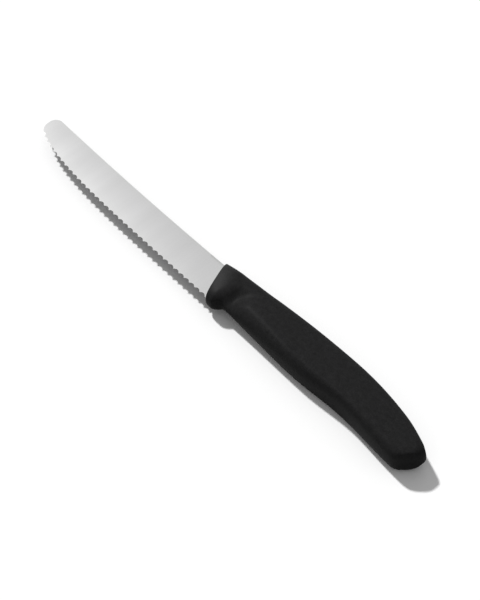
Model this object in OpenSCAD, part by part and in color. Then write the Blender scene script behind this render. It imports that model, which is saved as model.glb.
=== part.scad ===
// Tomato knife with a round tip, a wavy edge and a one-piece moulded handle.
// It lies on its flank: +X runs from tip to butt, +Y from edge to spine, +Z up.
// Both pieces are drawn about the knife's own axes and then placed together: X = 0 is the
// handle's front on the centre line, Y = 0 is half the blade's depth, Z = 0 is the steel's middle.

/* [Blade] */
// Length of the bare blade along its spine
blade_len = 109.5; // [95:0.5:125]
// Depth of the blade from spine to edge
blade_w = 16; // [14:0.5:18]
// Thickness of the steel strip
blade_t = 1.2; // [0.8:0.1:1.6]
// Thickness left along the edge by the flat grind, before the waves are cut
edge_t = 0.5; // [0.3:0.05:0.7]
// Radius that rounds the tip over into the spine
tip_r = 3.6; // [2.5:0.1:5]
// Length over which the edge sweeps up to the tip
sweep_len = 84; // [60:1:92]
// Fullness of that sweep, where 2 is an ellipse and more is squarer
sweep_fullness = 2.9; // [2.2:0.1:3.4]
// Rise of the spine line from the handle to the tip
spine_rise = 0.5; // [0:0.1:1.2]
// Hollow of the spine line below its chord
spine_dip = 0.7; // [0:0.1:1]

/* [Wavy edge] */
// Pitch of the waves along the edge
wave_pitch = 3.15; // [2.4:0.05:4.2]
// Depth of each gullet
wave_depth = 0.85; // [0.4:0.05:1.1]
// Flat left on the crest between two gullets
wave_land = 0.2; // [0.1:0.05:0.5]
// Angle between the wave grind and the blade's flat
wave_angle = 20; // [16:1:28]
// Clear distance between the handle and the first wave's grind
heel_plain = 0.1; // [0.1:0.1:3]
// Plain stretch of edge between the last wave and the tip's foremost point
tip_plain = 3.5; // [2:0.5:10]

/* [Tang] */
// Length of the steel inside the handle, from the handle's front
tang_len = 76; // [50:1:84]
// Depth of the tang
tang_w = 9; // [7:0.5:10]
// How far the blade's full depth runs into the guard
heel_in = 2.4; // [1.5:0.1:3]
// Diameter of the keying holes, which the moulding fills
key_d = 4.5; // [3:0.1:5.5]
// Number of keying holes
key_count = 3; // [1:1:4]
// Spacing of the keying holes
key_pitch = 20; // [10:1:22]

/* [Handle] */
// Length of the handle on the centre line
handle_len = 112; // [104:1:124]
// Greatest thickness of the handle, flank to flank
handle_t = 13.2; // [11:0.1:16]
// Thickness of the handle at its front face
front_t = 8.4; // [6:0.2:10]
// Thickness of the handle behind the bolster
bolster_t = 11.5; // [9:0.1:13]
// Thickness of the handle at the pommel
pommel_t = 11.8; // [9:0.2:13]
// Slant of the front face across the blade
front_slant = 22; // [10:1:26]
// Radius along the rim of the front face
rim_r = 0.8; // [0.3:0.1:1.2]
// How far the handle's back stands above the spine at its front
back_step = 0.75; // [0.5:0.05:2.5]
// Height of the handle's back above the centre line at its crown
crown_h = 12.3; // [11:0.1:14]
// Place of the crown behind the front face
crown_x = 66; // [55:1:72]
// How far the guard hangs below the edge
guard_drop = 1; // [0.6:0.1:3]
// Length of the guard's level underside, behind the rim
guard_len = 3.2; // [1.5:0.1:4.5]

/* [Grip] */
// Depth of the finger relief's bottom line below the centre line
relief_h = 6.3; // [5.4:0.05:7]
// Place of the finger relief behind the front face
relief_x = 9.5; // [8:0.5:12]
// Depth of the belly's bottom line below the centre line
belly_h = 6.8; // [5.5:0.1:8.5]
// Place of the belly
belly_x = 51; // [42:1:58]
// Depth of the waist's bottom line below the centre line
waist_h = 5.2; // [4.4:0.1:7]
// Place of the waist
waist_x = 74; // [66:1:80]
// Depth of the pommel's hook below the centre line
hook_h = 7.4; // [6:0.1:9.5]
// Distance of the hook's lowest point from the butt
hook_in = 7; // [6:0.5:14]
// Rise of the underside from the hook's lowest point to the butt
hook_lift = 4; // [0:0.1:4.5]
// Height of the butt's farthest point above the centre line
butt_y = 3; // [1:0.1:4]
// Length over which the back rounds over into the butt
butt_back_r = 16; // [8:0.2:18]
// Length over which the hook rounds up into the butt
butt_hook_r = 9; // [5:0.5:12]
// Radius that rounds the flanks into the butt
butt_flank_r = 4; // [2:0.5:5]
// Depth of the thumb scoop in each flank behind the bolster
scoop_depth = 2.4; // [0:0.1:2.5]

/* [Hidden] */

eps = 0.01;

// The handle's slanted front face crosses the knife's axes at the origin.
slant = tan(front_slant);
function front_x(y) = -y * slant;

// Blade outline, with half its depth on each side of the centre line
spine_y = blade_w / 2;
edge_y = -blade_w / 2;
tip_x = front_x(spine_y) - blade_len;
spine_end_x = tip_x + tip_r;
spine_run = front_x(spine_y) - spine_end_x;
tip_top_y = spine_y + spine_rise;
tip_y = tip_top_y - tip_r;
sweep_h = tip_y - edge_y;
sweep_x = tip_x + sweep_len;
SPINE_STEPS = 24;
ROUND_STEPS = 14;
SWEEP_STEPS = 72;

// Points run from the handle along the spine, round the tip and back along the edge.
function spine_pt(u) =
    [front_x(spine_y) - spine_run * u, spine_y + spine_rise * u - 4 * spine_dip * u * (1 - u)];
spine_end_slope = atan2(spine_rise + 4 * spine_dip, spine_run);
function round_pt(a) = [spine_end_x - tip_r * sin(a), tip_y + tip_r * cos(a)];
function sweep_pt(u) = let (a = 90 * pow(u, 1.25)) [
    sweep_x - sweep_len * pow(cos(a), 2 / sweep_fullness),
    tip_y - sweep_h * pow(sin(a), 2 / sweep_fullness)
];

spine_line = [for (i = [0:SPINE_STEPS]) spine_pt(i / SPINE_STEPS)];
round_line = [
    for (i = [1:ROUND_STEPS - 1]) round_pt(spine_end_slope + (90 - spine_end_slope) * i / ROUND_STEPS)
];
sweep_line = [for (i = [0:SWEEP_STEPS]) sweep_pt(i / SWEEP_STEPS)];

// Tables that give the edge's points by their distance along it from the handle's front
heel_pt = [front_x(edge_y), edge_y];
edge_line = concat([heel_pt], [for (i = [SWEEP_STEPS:-1:0]) sweep_line[i]]);
function run_lengths(p, i = 1, sum = 0, out = [0]) =
    i == len(p) ? out
    : let (s = sum + norm(p[i] - p[i - 1])) run_lengths(p, i + 1, s, concat(out, [s]));
edge_run = run_lengths(edge_line);
edge_len = edge_run[len(edge_run) - 1];
edge_xs = [for (i = [0:len(edge_line) - 1]) [edge_run[i], edge_line[i].x]];
edge_ys = [for (i = [0:len(edge_line) - 1]) [edge_run[i], edge_line[i].y]];
function edge_at(s) = [lookup(s, edge_xs), lookup(s, edge_ys)];
function edge_heading(s) = let (d = edge_at(s + 0.5) - edge_at(s - 0.5)) atan2(d.y, d.x);

// Flat grind: each side of the bare blade falls from the spine to the edge.
grind_skim = 0.05;
grind_top_z = blade_t / 2 - grind_skim;
grind_angle = atan2(grind_top_z - edge_t / 2, blade_w);
grind_gap = 0.05;
function face_z(y) = grind_top_z - (spine_y - y) * tan(grind_angle);

// Waves: each gullet is one pass of a round wheel under the blade, tilted from the flat by
// wave_angle. It breaks out of the upper face wave_depth inside the edge.
wave_sink = wave_depth * sin(wave_angle);
wave_r = (pow((wave_pitch - wave_land) / 2, 2) + pow(wave_sink, 2)) / (2 * wave_sink);
wave_reach = 9;

// A flute is widest at the edge's lower corner, and the first one stays clear of the handle.
flute_sink = wave_sink + edge_t * cos(wave_angle);
flute_half = sqrt(2 * wave_r * flute_sink - pow(flute_sink, 2));
wave_start = heel_plain + flute_half;
wave_count = floor((edge_len - tip_plain - wave_start) / wave_pitch + 0.5);

// Tang: the full depth of the strip ends inside the guard, and the narrower tang goes on.
heel_x = front_x(edge_y) + heel_in;
heel_notch = 1.5;
shoulder_x = 6.5;
shoulder_run = 6;
tang_y = 1.8;
tang_low = tang_y - tang_w / 2;
tang_high = tang_y + tang_w / 2;
tang_taper = 1.2;
tang_corner = 2;
key_end = 8;
key_first_x = tang_len - key_end - (key_count - 1) * key_pitch;
tang_line = [
    [heel_x, edge_y],
    [heel_x, tang_low - heel_notch],
    [heel_x + heel_notch, tang_low],
    [tang_len - tang_corner, tang_low + tang_taper],
    [tang_len, tang_low + tang_taper + tang_corner],
    [tang_len, tang_high - tang_taper - tang_corner],
    [tang_len - tang_corner, tang_high - tang_taper],
    [shoulder_x, tang_high],
    [shoulder_x - shoulder_run, spine_y]
];

// Handle's lines along the centre line, each a list of [x, value, slope]
back_rise = 0.08;
back_fall_in = 4;
back_fall = 6.3;
back_fall_slope = -0.3;
back_end_fall = 8.1;
back_end_slope = -0.39;
back_line = [
    [0, spine_y + back_step, back_rise],
    [crown_x, crown_h, 0],
    [handle_len - back_fall_in, crown_h - back_fall, back_fall_slope],
    [handle_len, crown_h - back_end_fall, back_end_slope]
];
relief_len = 7;
under_line = [
    [0, edge_y - guard_drop, 0],
    [guard_len, edge_y - guard_drop, 0],
    [relief_x, -relief_h, 0],
    [relief_x + relief_len, -relief_h, 0],
    [belly_x, -belly_h, 0],
    [waist_x, -waist_h, 0],
    [handle_len - hook_in, -hook_h, 0],
    [handle_len, hook_lift - hook_h, 0]
];
front_flare = 0.33;
bolster_flare = 0.04;
thick_line = [
    [0, front_t / 2, front_flare],
    [relief_x, bolster_t / 2, bolster_flare],
    [belly_x, handle_t / 2, 0],
    [waist_x, handle_t / 2, 0],
    [handle_len, pommel_t / 2, 0]
];
// Height of each section's widest point: it runs low along the grip, where the flank is flat
// down to a ridge above the fingers.
widest_line = [[0, 0, 0], [relief_x, 2, 0], [belly_x, -2.8, 0], [waist_x, -2.4, 0], [handle_len, -1, 0]];
// Fullness of the sections above and below that point: 2 is an ellipse, more is squarer.
back_full = [[0, 3, 0], [relief_x, 3.4, 0], [belly_x, 5, 0], [handle_len, 5, 0]];
under_full = [
    [0, 3.2, 0],
    [guard_len, 3.2, 0],
    [relief_x, 2.2, 0],
    [belly_x, 2.7, 0],
    [waist_x, 3.1, 0],
    [handle_len, 3.8, 0]
];
// Length over which the sections turn from the front's slant to square
slant_run = 24;

// Cubic curve through the points of a line, with the slope that each one names
function segment(pts, x, i = 0) = i >= len(pts) - 2 || x < pts[i + 1][0] ? i : segment(pts, x, i + 1);
function along(pts, x) =
    let (
        i = segment(pts, x),
        p = pts[i],
        q = pts[i + 1],
        w = q[0] - p[0],
        u = max(0, min(1, (x - p[0]) / w)),
        blend = u * u * (3 - 2 * u)
    )
    p[1] * (1 - blend) + q[1] * blend + w * u * (1 - u) * (p[2] * (1 - u) - q[2] * u);
function ease(u) = let (v = max(0, min(1, u))) v * v * (3 - 2 * v);
// Rounding over the last r millimetres of the handle, from 1 down to 0 at the butt
function round_off(x, r, power) =
    let (u = max(0, (x - handle_len + r) / r)) pow(max(0, 1 - pow(u, power)), 1 / power);
function signed_pow(v, p) = sign(v) * pow(abs(v), p);

// Thumb scoop: a steep step down from the bolster and a long easy rise to the grip. The line of
// its bottom bends back above scoop_mid_y, where the scoop fades out towards the spine.
scoop_x = 13.2;
scoop_mid_y = -1.5;
scoop_bend = 0.13;
scoop_front = 2.5;
scoop_rear = 4.6;
scoop_fade = 9.5;
function scoop(x, y) =
    let (
        up = max(0, y - scoop_mid_y),
        d = x - scoop_x - scoop_bend * pow(up, 2),
        fall = d < 0 ? pow(-d / scoop_front, 3) : pow(d / scoop_rear, 2)
    )
    scoop_depth * exp(-fall) * (1 - ease(up / scoop_fade));

// One point of the section at x, drawn in by inset and leaning with the front face
RING = 64;
BACK_ROUND = 2.1;
HOOK_ROUND = 2.2;
function section_pt(x, inset, a) =
    let (
        back_round = round_off(x, butt_back_r, BACK_ROUND),
        hook_round = round_off(x, butt_hook_r, HOOK_ROUND),
        top = butt_y + (along(back_line, x) - butt_y) * back_round - inset,
        low = butt_y + (along(under_line, x) - butt_y) * hook_round + inset,
        mid = butt_y + (along(widest_line, x) - butt_y) * hook_round,
        half = along(thick_line, x) * round_off(x, butt_flank_r, 2) - inset,
        above = cos(a) >= 0,
        reach = above ? top - mid : mid - low,
        full = above ? along(back_full, x) : along(under_full, x),
        y = mid + reach * signed_pow(cos(a), 2 / full),
        z = half * signed_pow(sin(a), 2 / full),
        leant_x = x - y * slant * (1 - ease(x / slant_run))
    )
    [leant_x, y, z * (1 - scoop(leant_x, y) / half)];
function ring(x, inset) = [for (i = [0:RING - 1]) section_pt(x, inset, 360 * (i + 0.5) / RING)];

// Stations along the handle as [x, inset]: the rim of the front, then bolster, grip and butt
RIM_STEPS = 4;
BOLSTER_STEPS = 42;
GRIP_STEPS = 16;
BUTT_STEPS = 16;
BUTT_TURN = 88.5;
bolster_end = relief_x + 12.5;
butt_start = handle_len - max(butt_back_r, butt_hook_r, butt_flank_r) - 2;
rim_rings = [
    for (i = [0:RIM_STEPS])
        let (a = 90 * i / RIM_STEPS)
        [rim_r * (1 - cos(a)), rim_r * (1 - sin(a))]
];
bolster_rings = [
    for (i = [1:BOLSTER_STEPS]) [rim_r + (bolster_end - rim_r) * i / BOLSTER_STEPS, 0]
];
grip_rings = [
    for (i = [1:GRIP_STEPS]) [bolster_end + (butt_start - bolster_end) * i / GRIP_STEPS, 0]
];
butt_rings = [
    for (i = [1:BUTT_STEPS])
        [butt_start + (handle_len - butt_start) * sin(BUTT_TURN * i / BUTT_STEPS), 0]
];
stations = concat(rim_rings, bolster_rings, grip_rings, butt_rings);

module handle_form() {
    points = [for (s = stations) each ring(s[0], s[1])];
    last = (len(stations) - 1) * RING;
    sides = [
        for (j = [0:len(stations) - 2], i = [0:RING - 1])
            let (a = j * RING + i, b = j * RING + (i + 1) % RING)
            each [[a, b, b + RING], [a, b + RING, a + RING]]
    ];
    front = [for (i = [RING - 1:-1:0]) i];
    butt = [for (i = [0:RING - 1]) last + i];
    polyhedron(points = points, faces = concat([front], sides, [butt]), convexity = 4);
}

// Steel inside the handle, cut off at the handle's slanted front
module tang_outline() {
    polygon(concat(
        [[front_x(edge_y) - eps, edge_y]],
        tang_line,
        [[front_x(spine_y) - eps, spine_y]]
    ));
}

module key_holes() {
    for (i = [0:key_count - 1])
        translate([key_first_x + i * key_pitch, tang_y, -blade_t])
            cylinder(d = key_d, h = 2 * blade_t, $fn = 48);
}

module tang() {
    difference() {
        translate([0, 0, -blade_t / 2])
            linear_extrude(blade_t) tang_outline();
        key_holes();
    }
}

module blade_outline() {
    polygon(concat(spine_line, round_line, sweep_line, tang_line));
}

// What the flat grind takes off one side of the bare blade
module flat_grind() {
    big = 2 * (blade_len + blade_w);
    translate([-grind_gap, spine_y, grind_top_z])
        rotate([grind_angle, 0, 0])
            translate([front_x(spine_y), 0, 0])
                rotate([0, 0, front_slant])
                    translate([-big, -big / 2, 0])
                        cube([big, big, blade_t]);
}

// One pass of the wheel at distance s along the edge
module gullet(s) {
    p = edge_at(s);
    translate([p.x, p.y, face_z(p.y)])
        rotate([0, 0, edge_heading(s) - 180])
            translate([0, wave_depth, 0])
                rotate([-90 - wave_angle, 0, 0])
                    translate([0, wave_r, -wave_reach / 2])
                        cylinder(r = wave_r, h = wave_reach, $fn = 96);
}

// The stamped blank, with both sides ground flat and its tang pierced
module ground_blank() {
    difference() {
        translate([0, 0, -blade_t / 2])
            linear_extrude(blade_t) blade_outline();
        flat_grind();
        mirror([0, 0, 1]) flat_grind();
        key_holes();
    }
}

module blade_steel() {
    difference() {
        ground_blank();
        for (i = [0:wave_count - 1]) gullet(wave_start + i * wave_pitch);
    }
}

// The knife is centred on its outline and lies with its flank on Z = 0.
module place() {
    translate([-(tip_x + handle_len) / 2, -(crown_h + edge_y - guard_drop) / 2, handle_t / 2])
        children();
}

// Stamped steel: the blade and its tang are one piece
module blade() {
    color("silver") place() blade_steel();
}

// Moulding: it closes round the tang and fills the keying holes
module handle() {
    color([0.09, 0.09, 0.1]) place() difference() {
        handle_form();
        tang();
    }
}

blade();
handle();
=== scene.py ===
"""Looks of a round-tipped tomato knife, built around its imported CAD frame.

Everything is in metres, in the frame's own axes: +X from tip to butt, +Y from edge to spine
and +Z up from the flank that the knife lies on.
"""

from math import cos, pi, radians, sin, tan

import bmesh
import bpy
from mathutils import Matrix, Vector


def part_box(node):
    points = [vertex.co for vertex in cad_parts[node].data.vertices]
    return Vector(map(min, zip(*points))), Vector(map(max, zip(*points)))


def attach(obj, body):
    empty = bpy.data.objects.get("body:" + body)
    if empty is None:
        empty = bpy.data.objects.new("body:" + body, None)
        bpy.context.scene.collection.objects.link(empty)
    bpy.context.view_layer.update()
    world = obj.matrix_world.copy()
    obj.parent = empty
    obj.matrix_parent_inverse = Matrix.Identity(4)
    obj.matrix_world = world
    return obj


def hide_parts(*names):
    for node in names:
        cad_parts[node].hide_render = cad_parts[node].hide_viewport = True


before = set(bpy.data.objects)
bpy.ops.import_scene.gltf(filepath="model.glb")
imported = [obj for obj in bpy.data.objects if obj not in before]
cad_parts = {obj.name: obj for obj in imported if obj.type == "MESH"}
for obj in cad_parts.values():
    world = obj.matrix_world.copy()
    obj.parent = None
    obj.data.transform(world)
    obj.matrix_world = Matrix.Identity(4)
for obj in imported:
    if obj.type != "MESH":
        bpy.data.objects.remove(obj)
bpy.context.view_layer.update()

bl_info = {
    "name": "Tomato Knife",
    "version": (1, 0, 0),
    "blender": (4, 5, 0),
    "location": "3D View > Sidebar > Knife",
    "description": "Builds a tomato knife's ground steel blade, its moulded handle and a plain stage",
    "category": "Add Mesh",
}

MM = 0.001
# Points and cuts nearer than this count as one.
TOUCHING = 1e-7

# Where the knife's own axes lie in the frame: x = 0 where the blade's middle line enters the
# handle's slanted front, y = 0 halfway between spine and edge, z = 0 at mid-thickness.
AXES_X = 0.366 * MM
AXES_Y = -1.65 * MM
AXES_Z = 6.6 * MM
SPINE_Y = 8.0 * MM
BLADE_DEPTH = 16.0 * MM
FRONT_SLANT = radians(22)

# Half the blade's thickness under the flat grind, along its spine and along its edge
HALF_AT_SPINE = 0.55 * MM
HALF_AT_EDGE = 0.25 * MM
# The crown fades out over this length before the handle. It needs a net of edges: so many strips
# between spine and edge, and so many cuts across the blade at this spacing.
CROWN_FADE = 8.0 * MM
CROWN_STRIPS = 12
CROWN_CUTS = 28
CROWN_SPACING = 4.0 * MM

# The bolster's smoother skin fades out behind the handle's front, and down towards the edge.
BOLSTER_LEN = 9.5 * MM
BOLSTER_FADE = 7.0 * MM
# The thumb scoops' place behind the handle's front, and their least height off mid-thickness
SCOOP_START = 7.0 * MM
SCOOP_END = 26.0 * MM
SCOOP_HEIGHT = 2.0 * MM
SCOOP_PASSES = 5

# The photograph's frame in pixels, and the pixel that the camera's aim falls on
PHOTO_W = 480
PHOTO_H = 600
AIM_PIXEL = (210.26, 275.98)
# The aim itself, on the blade just ahead of the handle, measured from the knife's own axes
AIM_POINT = (-3.84 * MM, 0.3 * MM, 0.4 * MM)
SENSOR_MM = 36.0

# A reflection sees the white floor and the white surroundings while its ray depth is below these,
# so that the blade's underside doesn't light up its own shadow. The surroundings count one more.
FLOOR_BOUNCES = 1.5
WORLD_BOUNCES = 2.5
# Half the floor's side
FLOOR_HALF = 3.0
WHITE = (1, 1, 1, 1)
BOUNCE_GREY = (0.38, 0.38, 0.38, 1)


# ---------------------------------------------------------------------------
# Sizes and colours that a user would change


class BladeProps(bpy.types.PropertyGroup):
    """Finish of the steel blade."""

    steel_color: bpy.props.FloatVectorProperty(
        name="Steel", description="Colour of the ground steel", subtype="COLOR",
        size=3, min=0.0, max=1.0, default=(0.42, 0.42, 0.42),
    )
    steel_roughness: bpy.props.FloatProperty(
        name="Steel roughness", description="Roughness of the satin ground face",
        subtype="FACTOR", default=0.26, min=0.1, max=0.6,
    )
    spine_break: bpy.props.FloatProperty(
        name="Spine rounding", description="Width of the rounding along the corners of spine and tip",
        subtype="DISTANCE", unit="LENGTH", default=0.22 * MM, min=0.05 * MM, max=0.4 * MM,
    )
    grind_crown: bpy.props.FloatProperty(
        name="Grind crown", description="Height by which the ground face bulges between spine and edge",
        subtype="DISTANCE", unit="LENGTH", default=0.05 * MM, min=0.0, max=0.1 * MM,
    )
    grind_pitch: bpy.props.FloatProperty(
        name="Grind line spacing", description="Spacing of the fine lines that the flat grind leaves",
        subtype="DISTANCE", unit="LENGTH", default=0.3 * MM, min=0.05 * MM, max=1.0 * MM,
    )


class HandleProps(bpy.types.PropertyGroup):
    """Finish of the moulded handle."""

    plastic_color: bpy.props.FloatVectorProperty(
        name="Plastic", description="Colour of the handle's plastic", subtype="COLOR",
        size=3, min=0.0, max=1.0, default=(0.0165, 0.0165, 0.0167),
    )
    grain_size: bpy.props.FloatProperty(
        name="Grain size", description="Size of the matt grain on the grip",
        subtype="DISTANCE", unit="LENGTH", default=0.45 * MM, min=0.1 * MM, max=1.0 * MM,
    )
    grain_depth: bpy.props.FloatProperty(
        name="Grain depth", description="Depth of the matt grain on the grip",
        subtype="DISTANCE", unit="LENGTH", default=0.03 * MM, min=0.0, max=0.1 * MM,
    )


class StageProps(bpy.types.PropertyGroup):
    """Floor, lamps and camera."""

    lens: bpy.props.FloatProperty(
        name="Lens", description="Focal length of the camera", unit="CAMERA",
        default=97.86, min=20.0, max=300.0,
    )
    distance: bpy.props.FloatProperty(
        name="Camera distance", description="Depth from the camera to the point that it is aimed by",
        subtype="DISTANCE", unit="LENGTH", default=0.642, min=0.2, max=5.0,
    )
    elevation: bpy.props.FloatProperty(
        name="Elevation", description="Angle of the camera above the table",
        subtype="ANGLE", unit="ROTATION", default=radians(52), min=0.0, max=radians(90),
    )
    turn: bpy.props.FloatProperty(
        name="Turn", description="Turn of the camera round the knife",
        subtype="ANGLE", unit="ROTATION", default=radians(48.3), min=-pi, max=pi,
    )
    key_strength: bpy.props.FloatProperty(
        name="Key light", description="Strength of the lamp on the blade's tip side",
        default=2.87, min=0.0, max=20.0,
    )
    key_elevation: bpy.props.FloatProperty(
        name="Key elevation", description="Height of the key light above the table",
        subtype="ANGLE", unit="ROTATION", default=radians(48), min=radians(5), max=radians(90),
    )
    key_turn: bpy.props.FloatProperty(
        name="Key turn", description="Turn of the key light from the tip's side towards the spine's",
        subtype="ANGLE", unit="ROTATION", default=radians(5), min=-pi, max=pi,
    )
    key_width: bpy.props.FloatProperty(
        name="Key width", description="Angle across the key light, which softens the shadow's edge",
        subtype="ANGLE", unit="ROTATION", default=radians(4), min=0.0, max=radians(60),
    )
    fill_strength: bpy.props.FloatProperty(
        name="Fill light", description="Strength of the even light from all round",
        default=0.37, min=0.0, max=2.0,
    )


# ---------------------------------------------------------------------------
# Mesh helpers


def ease(share):
    """Smooth step from 0 to 1."""
    held = min(1.0, max(0.0, share))
    return held * held * (3 - 2 * held)


def merged_copy(node):
    """The CAD node's mesh with its loose triangles joined."""
    bm = bmesh.new()
    bm.from_mesh(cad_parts[node].data)
    bmesh.ops.remove_doubles(bm, verts=bm.verts, dist=TOUCHING)
    return bm


def cut_across(bm, place, normal):
    """Adds a line of edges where a plane crosses the mesh."""
    geom = [*bm.verts, *bm.edges, *bm.faces]
    bmesh.ops.bisect_plane(bm, geom=geom, dist=TOUCHING, plane_co=place, plane_no=normal)


def finish_piece(name, bm, material, node, crease):
    """Turns a bmesh into a finished piece that stands for the CAD node.

    Corners sharper than the crease angle stay sharp in the shading.
    """
    bm.normal_update()
    for face in bm.faces:
        face.smooth = True
    for edge in bm.edges:
        if edge.calc_face_angle(pi) > crease:
            edge.smooth = False
    mesh = bpy.data.meshes.new(name)
    bm.to_mesh(mesh)
    bm.free()
    mesh.materials.append(material)
    obj = bpy.data.objects.new(name, mesh)
    bpy.context.scene.collection.objects.link(obj)
    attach(obj, "root")
    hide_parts(node)


# ---------------------------------------------------------------------------
# Shapes


def is_outer_corner(edge, last_x):
    """True for a corner between a flat and the wall round spine and tip, outside the handle."""
    if len(edge.link_faces) != 2 or max(vert.co.x for vert in edge.verts) > last_x:
        return False
    normals = (face.normal for face in edge.link_faces)
    wall, flat = sorted(normals, key=lambda normal: abs(normal.z))
    stands_up = abs(wall.z) < 0.1
    lies_flat = abs(flat.z) > 0.9
    faces_the_edge = wall.y <= -0.05
    return stands_up and lies_flat and not faces_the_edge


def round_outer_corners(bm, width):
    """Rounds the corners along spine and tip, to just inside the handle's mouth."""
    last_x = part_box("handle")[0][0] + 1.0 * MM
    cut_across(bm, (last_x, 0, 0), (1, 0, 0))
    bm.normal_update()
    slack = 10 * TOUCHING
    corners = [edge for edge in bm.edges if is_outer_corner(edge, last_x + slack)]
    bmesh.ops.bevel(
        bm, geom=corners, offset=width, offset_type="OFFSET", affect="EDGES",
        segments=3, profile=0.5, material=-1, clamp_overlap=True,
    )


def crown_faces(bm, crown):
    """Bulges both ground faces a little between spine and edge, fading out at the handle."""
    spine_y = AXES_Y + SPINE_Y
    mouth_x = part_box("handle")[0][0]
    for step in range(1, CROWN_STRIPS):
        cut_across(bm, (0, spine_y - BLADE_DEPTH * step / CROWN_STRIPS, 0), (0, 1, 0))
    for step in range(CROWN_CUTS):
        cut_across(bm, (mouth_x - CROWN_SPACING * step, 0, 0), (1, 0, 0))
    for vert in bm.verts:
        share = min(1.0, max(0.0, (spine_y - vert.co.y) / BLADE_DEPTH))
        flat = HALF_AT_SPINE + (HALF_AT_EDGE - HALF_AT_SPINE) * share
        # A parabola that is 0 at spine and edge, and 1 halfway between them
        arch = 4 * share * (1 - share)
        bulge = crown * arch * ease((mouth_x - vert.co.x) / CROWN_FADE)
        vert.co.z = AXES_Z + (vert.co.z - AXES_Z) * (1 + bulge / flat)


def blade_mesh(props):
    """The blade's form, with its flats joined first so that they can be cut evenly."""
    bm = merged_copy("blade")
    bmesh.ops.dissolve_limit(bm, angle_limit=radians(0.3), verts=bm.verts, edges=bm.edges)
    round_outer_corners(bm, props.spine_break)
    crown_faces(bm, props.grind_crown)
    return bm


def sharpen_front(bm):
    """Ends the smooth shading where the rounding of the handle's rim meets its flat front."""
    ahead = Vector((-cos(FRONT_SLANT), -sin(FRONT_SLANT), 0))
    same_way = 0.999
    bm.normal_update()
    for edge in bm.edges:
        front_sides = sum(face.normal.dot(ahead) > same_way for face in edge.link_faces)
        if front_sides == 1:
            edge.smooth = False


def soften_scoops(bm):
    """Smooths the crests of the thumb scoops, on both flanks."""
    flanks = [
        vert for vert in bm.verts
        if AXES_X + SCOOP_START < vert.co.x < AXES_X + SCOOP_END
        and abs(vert.co.z - AXES_Z) > SCOOP_HEIGHT
    ]
    for _ in range(SCOOP_PASSES):
        bmesh.ops.smooth_vert(
            bm, verts=flanks, factor=0.5, use_axis_x=True, use_axis_y=True, use_axis_z=True
        )


def handle_mesh():
    """The handle's form, with a mark on its points: 1 on the bolster's front, fading to 0 past it."""
    bm = merged_copy("handle")
    soften_scoops(bm)
    sharpen_front(bm)
    mark = bm.verts.layers.float.new("bolster")
    for vert in bm.verts:
        behind = vert.co.x - AXES_X + (vert.co.y - AXES_Y) * tan(FRONT_SLANT)
        above_edge = vert.co.y - AXES_Y + BLADE_DEPTH / 2
        vert[mark] = (1 - ease(behind / BOLSTER_LEN)) * ease(above_edge / BOLSTER_FADE)
    return bm


# ---------------------------------------------------------------------------
# Materials


def new_material(name):
    material = bpy.data.materials.new(name)
    material.use_nodes = True
    return material, material.node_tree, material.node_tree.nodes["Principled BSDF"]


def add_node(tree, kind, inputs=None, **options):
    """Adds a shader node; an input is given a value, or another node's socket to link."""
    made = tree.nodes.new("ShaderNode" + kind)
    for name, value in options.items():
        setattr(made, name, value)
    for key, value in (inputs or {}).items():
        if isinstance(value, bpy.types.NodeSocket):
            tree.links.new(value, made.inputs[key])
        else:
            made.inputs[key].default_value = value
    return made


def combined(tree, operation, first, second):
    """One arithmetic step on two values or sockets."""
    return add_node(tree, "Math", {0: first, 1: second}, operation=operation).outputs[0]


def noise(tree, size, detail=2.0):
    """Cloudy pattern from 0 to 1; size is the length of one cloud along X, Y and Z."""
    place = add_node(tree, "TexCoord").outputs["Object"]
    scaled = add_node(tree, "Mapping", {"Vector": place, "Scale": [1 / length for length in size]})
    pattern = add_node(tree, "TexNoise", {"Vector": scaled.outputs[0], "Scale": 1.0, "Detail": detail})
    return pattern.outputs["Fac"]


def spread(tree, pattern, low, high, start=0.3, end=0.7):
    """Maps the middle of a pattern onto the range from low to high."""
    return add_node(tree, "MapRange", {0: pattern, 1: start, 2: end, 3: low, 4: high}).outputs[0]


def tinted(tree, color, brightness):
    """The colour, times a brightness that varies over the surface."""
    return add_node(
        tree, "VectorMath", {0: tuple(color), "Scale": brightness}, operation="SCALE"
    ).outputs[0]


def ground_steel(props):
    """Satin stainless steel: fine lines across the blade from the flat grind, in faint broad bands."""
    material, tree, shader = new_material("ground_steel")
    line_len = 14.0 * MM
    band_width, band_len = 9.0 * MM, 60.0 * MM
    lines = noise(tree, (props.grind_pitch, line_len, line_len), detail=3.0)
    bands = noise(tree, (band_width, band_len, band_len), detail=1.0)
    line_shade = spread(tree, lines, 0.985, 1.015)
    band_shade = spread(tree, bands, 0.975, 1.025)
    shade = combined(tree, "MULTIPLY", line_shade, band_shade)
    tree.links.new(tinted(tree, props.steel_color, shade), shader.inputs["Base Color"])
    # The brighter bands are the smoother ones.
    varies = 0.012
    rough = spread(tree, bands, props.steel_roughness + varies, props.steel_roughness - varies)
    tree.links.new(rough, shader.inputs["Roughness"])
    line_depth = 0.002 * MM
    relief = add_node(tree, "Bump", {"Strength": 0.25, "Distance": line_depth, "Height": lines})
    tree.links.new(relief.outputs[0], shader.inputs["Normal"])
    shader.inputs["Metallic"].default_value = 1.0
    return material


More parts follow.
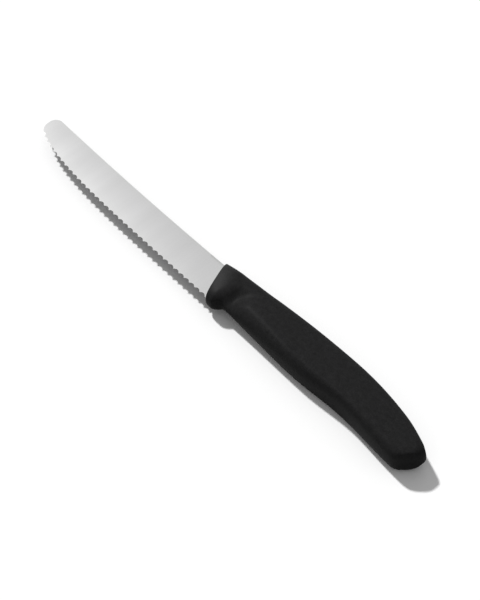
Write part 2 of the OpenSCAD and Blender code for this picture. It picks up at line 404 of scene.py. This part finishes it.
def moulded_plastic(props):
    """Black polypropylene: a fine matt grain, smoother and with more sheen on the bolster."""
    material, tree, shader = new_material("moulded_plastic")
    smooth = add_node(tree, "Attribute", attribute_name="bolster").outputs["Fac"]
    size = props.grain_size
    grain = noise(tree, (size, size, size), detail=3.0)
    cloud = 1.8 * MM
    clouds = noise(tree, (cloud, cloud, cloud), detail=3.0)
    grain_shade = spread(tree, grain, 0.8, 1.2)
    cloud_shade = spread(tree, clouds, 0.86, 1.14)
    shade = combined(tree, "MULTIPLY", grain_shade, cloud_shade)
    tree.links.new(tinted(tree, props.plastic_color, shade), shader.inputs["Base Color"])
    grip_rough = spread(tree, grain, 0.38, 0.44)
    polish = combined(tree, "MULTIPLY", smooth, 0.06)
    rough = combined(tree, "SUBTRACT", grip_rough, polish)
    tree.links.new(rough, shader.inputs["Roughness"])
    smoothed = combined(tree, "MULTIPLY", smooth, 0.7)
    cover = combined(tree, "SUBTRACT", 1.0, smoothed)
    relief = combined(tree, "MULTIPLY", grain, cover)
    bump = add_node(tree, "Bump", {"Strength": 1.0, "Distance": props.grain_depth, "Height": relief})
    tree.links.new(bump.outputs[0], shader.inputs["Normal"])
    # The smoother skin's sheen, on the bolster only
    sheen = combined(tree, "MULTIPLY", smooth, 0.21)
    tree.links.new(sheen, shader.inputs["Coat Weight"])
    shader.inputs["Coat Roughness"].default_value = 0.55
    shader.inputs["Specular IOR Level"].default_value = 0.014
    return material


def seen_directly(tree, deepest):
    """1 for rays from the camera, an early reflection or a clear material, and 0 for bounced light."""
    path = add_node(tree, "LightPath").outputs
    early = combined(tree, "LESS_THAN", path["Ray Depth"], deepest)
    mirrored = combined(tree, "MULTIPLY", path["Is Glossy Ray"], early)
    not_bounced = combined(tree, "MAXIMUM", mirrored, path["Is Transmission Ray"])
    return combined(tree, "MAXIMUM", path["Is Camera Ray"], not_bounced)


def white_floor():
    """White where it is seen, and greyer for the light that it throws back on the knife."""
    material, tree, shader = new_material("floor_white")
    tree.nodes.remove(shader)
    direct = seen_directly(tree, FLOOR_BOUNCES)
    color = add_node(tree, "Mix", {"Factor": direct}, data_type="RGBA")
    color.inputs["A"].default_value = BOUNCE_GREY
    color.inputs["B"].default_value = WHITE
    diffuse = add_node(tree, "BsdfDiffuse", {"Color": color.outputs["Result"]})
    tree.links.new(diffuse.outputs[0], tree.nodes["Material Output"].inputs["Surface"])
    return material


# ---------------------------------------------------------------------------
# Stage


def add_floor():
    bm = bmesh.new()
    bmesh.ops.create_grid(bm, x_segments=1, y_segments=1, size=FLOOR_HALF)
    mesh = bpy.data.meshes.new("floor")
    bm.to_mesh(mesh)
    bm.free()
    mesh.materials.append(white_floor())
    floor = bpy.data.objects.new("floor", mesh)
    bpy.context.scene.collection.objects.link(floor)


def add_even_light(strength):
    """Even light from all round, which is white where it is seen or mirrored."""
    world = bpy.data.worlds.new("studio")
    bpy.context.scene.world = world
    world.use_nodes = True
    tree = world.node_tree
    even = tree.nodes["Background"]
    even.inputs["Color"].default_value = WHITE
    even.inputs["Strength"].default_value = strength
    white = add_node(tree, "Background", {"Color": WHITE})
    direct = seen_directly(tree, WORLD_BOUNCES)
    mix = add_node(tree, "MixShader", {0: direct, 1: even.outputs[0], 2: white.outputs[0]})
    tree.links.new(mix.outputs[0], tree.nodes["World Output"].inputs["Surface"])


def add_key_light(props):
    lamp = bpy.data.lights.new("key", "SUN")
    lamp.energy = props.key_strength
    lamp.angle = props.key_width
    key = bpy.data.objects.new("key", lamp)
    bpy.context.scene.collection.objects.link(key)
    rise, turn = props.key_elevation, props.key_turn
    to_light = Vector((-cos(turn) * cos(rise), sin(turn) * cos(rise), sin(rise)))
    key.rotation_mode = "QUATERNION"
    key.rotation_quaternion = to_light.to_track_quat("Z", "Y")


def add_camera(props):
    """Camera at the photograph's angle, placed so that the aim falls on its pixel."""
    turn, rise = props.turn, props.elevation
    right = Vector((cos(turn), sin(turn), 0))
    away = Vector((-sin(turn), cos(turn), 0))
    forward = cos(rise) * away - sin(rise) * Vector((0, 0, 1))
    up = sin(rise) * away + cos(rise) * Vector((0, 0, 1))
    aim = Vector((AXES_X, AXES_Y, AXES_Z)) + Vector(AIM_POINT)
    focal = PHOTO_H * props.lens / SENSOR_MM
    across = (AIM_PIXEL[0] - PHOTO_W / 2) / focal
    above = (PHOTO_H / 2 - AIM_PIXEL[1]) / focal
    where = aim - props.distance * (forward + across * right + above * up)
    lens = bpy.data.cameras.new("camera")
    lens.lens = props.lens
    lens.clip_start = 0.01
    lens.clip_end = 20
    camera = bpy.data.objects.new("camera", lens)
    bpy.context.scene.collection.objects.link(camera)
    facing = Matrix((right, up, -forward)).transposed().to_4x4()
    camera.matrix_world = Matrix.Translation(where) @ facing
    bpy.context.scene.camera = camera


# ---------------------------------------------------------------------------
# Operators: one for each piece and one for the stage


class KNIFE_OT_blade(bpy.types.Operator):
    """Make the ground steel blade with its tang"""

    bl_idname = "knife.blade"
    bl_label = "Blade"

    def execute(self, context):
        props = context.scene.knife_blade
        bm = blade_mesh(props)
        steel = ground_steel(props)
        finish_piece("blade_steel", bm, steel, "blade", crease=radians(12))
        return {"FINISHED"}


class KNIFE_OT_handle(bpy.types.Operator):
    """Make the moulded handle round the tang"""

    bl_idname = "knife.handle"
    bl_label = "Handle"

    def execute(self, context):
        props = context.scene.knife_handle
        bm = handle_mesh()
        plastic = moulded_plastic(props)
        finish_piece("handle_moulding", bm, plastic, "handle", crease=radians(35))
        return {"FINISHED"}


class KNIFE_OT_stage(bpy.types.Operator):
    """Make the floor, the lamps and the camera"""

    bl_idname = "knife.stage"
    bl_label = "Stage"

    def execute(self, context):
        props = context.scene.knife_stage
        add_floor()
        add_even_light(props.fill_strength)
        add_key_light(props)
        add_camera(props)
        context.scene.view_settings.view_transform = "Standard"
        return {"FINISHED"}


class KNIFE_PT_panel(bpy.types.Panel):
    """Lists the knife's pieces and its stage"""

    bl_idname = "KNIFE_PT_panel"
    bl_label = "Tomato Knife"
    bl_space_type = "VIEW_3D"
    bl_region_type = "UI"
    bl_category = "Knife"

    def draw(self, context):
        for group, operator in zip(GROUPS, OPERATORS):
            box = self.layout.box()
            props = getattr(context.scene, group)
            for name in props.__annotations__:
                box.prop(props, name)
            box.operator(operator.bl_idname)


GROUPS = {"knife_blade": BladeProps, "knife_handle": HandleProps, "knife_stage": StageProps}
OPERATORS = (KNIFE_OT_blade, KNIFE_OT_handle, KNIFE_OT_stage)


def register():
    for cls in (*GROUPS.values(), *OPERATORS, KNIFE_PT_panel):
        bpy.utils.register_class(cls)
    for name, cls in GROUPS.items():
        setattr(bpy.types.Scene, name, bpy.props.PointerProperty(type=cls))


def unregister():
    for name in GROUPS:
        delattr(bpy.types.Scene, name)
    for cls in reversed((*GROUPS.values(), *OPERATORS, KNIFE_PT_panel)):
        bpy.utils.unregister_class(cls)


def main():
    """Register the classes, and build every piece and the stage."""
    register()
    bpy.ops.knife.blade()
    bpy.ops.knife.handle()
    bpy.ops.knife.stage()


if __name__ == "__main__":
    main()
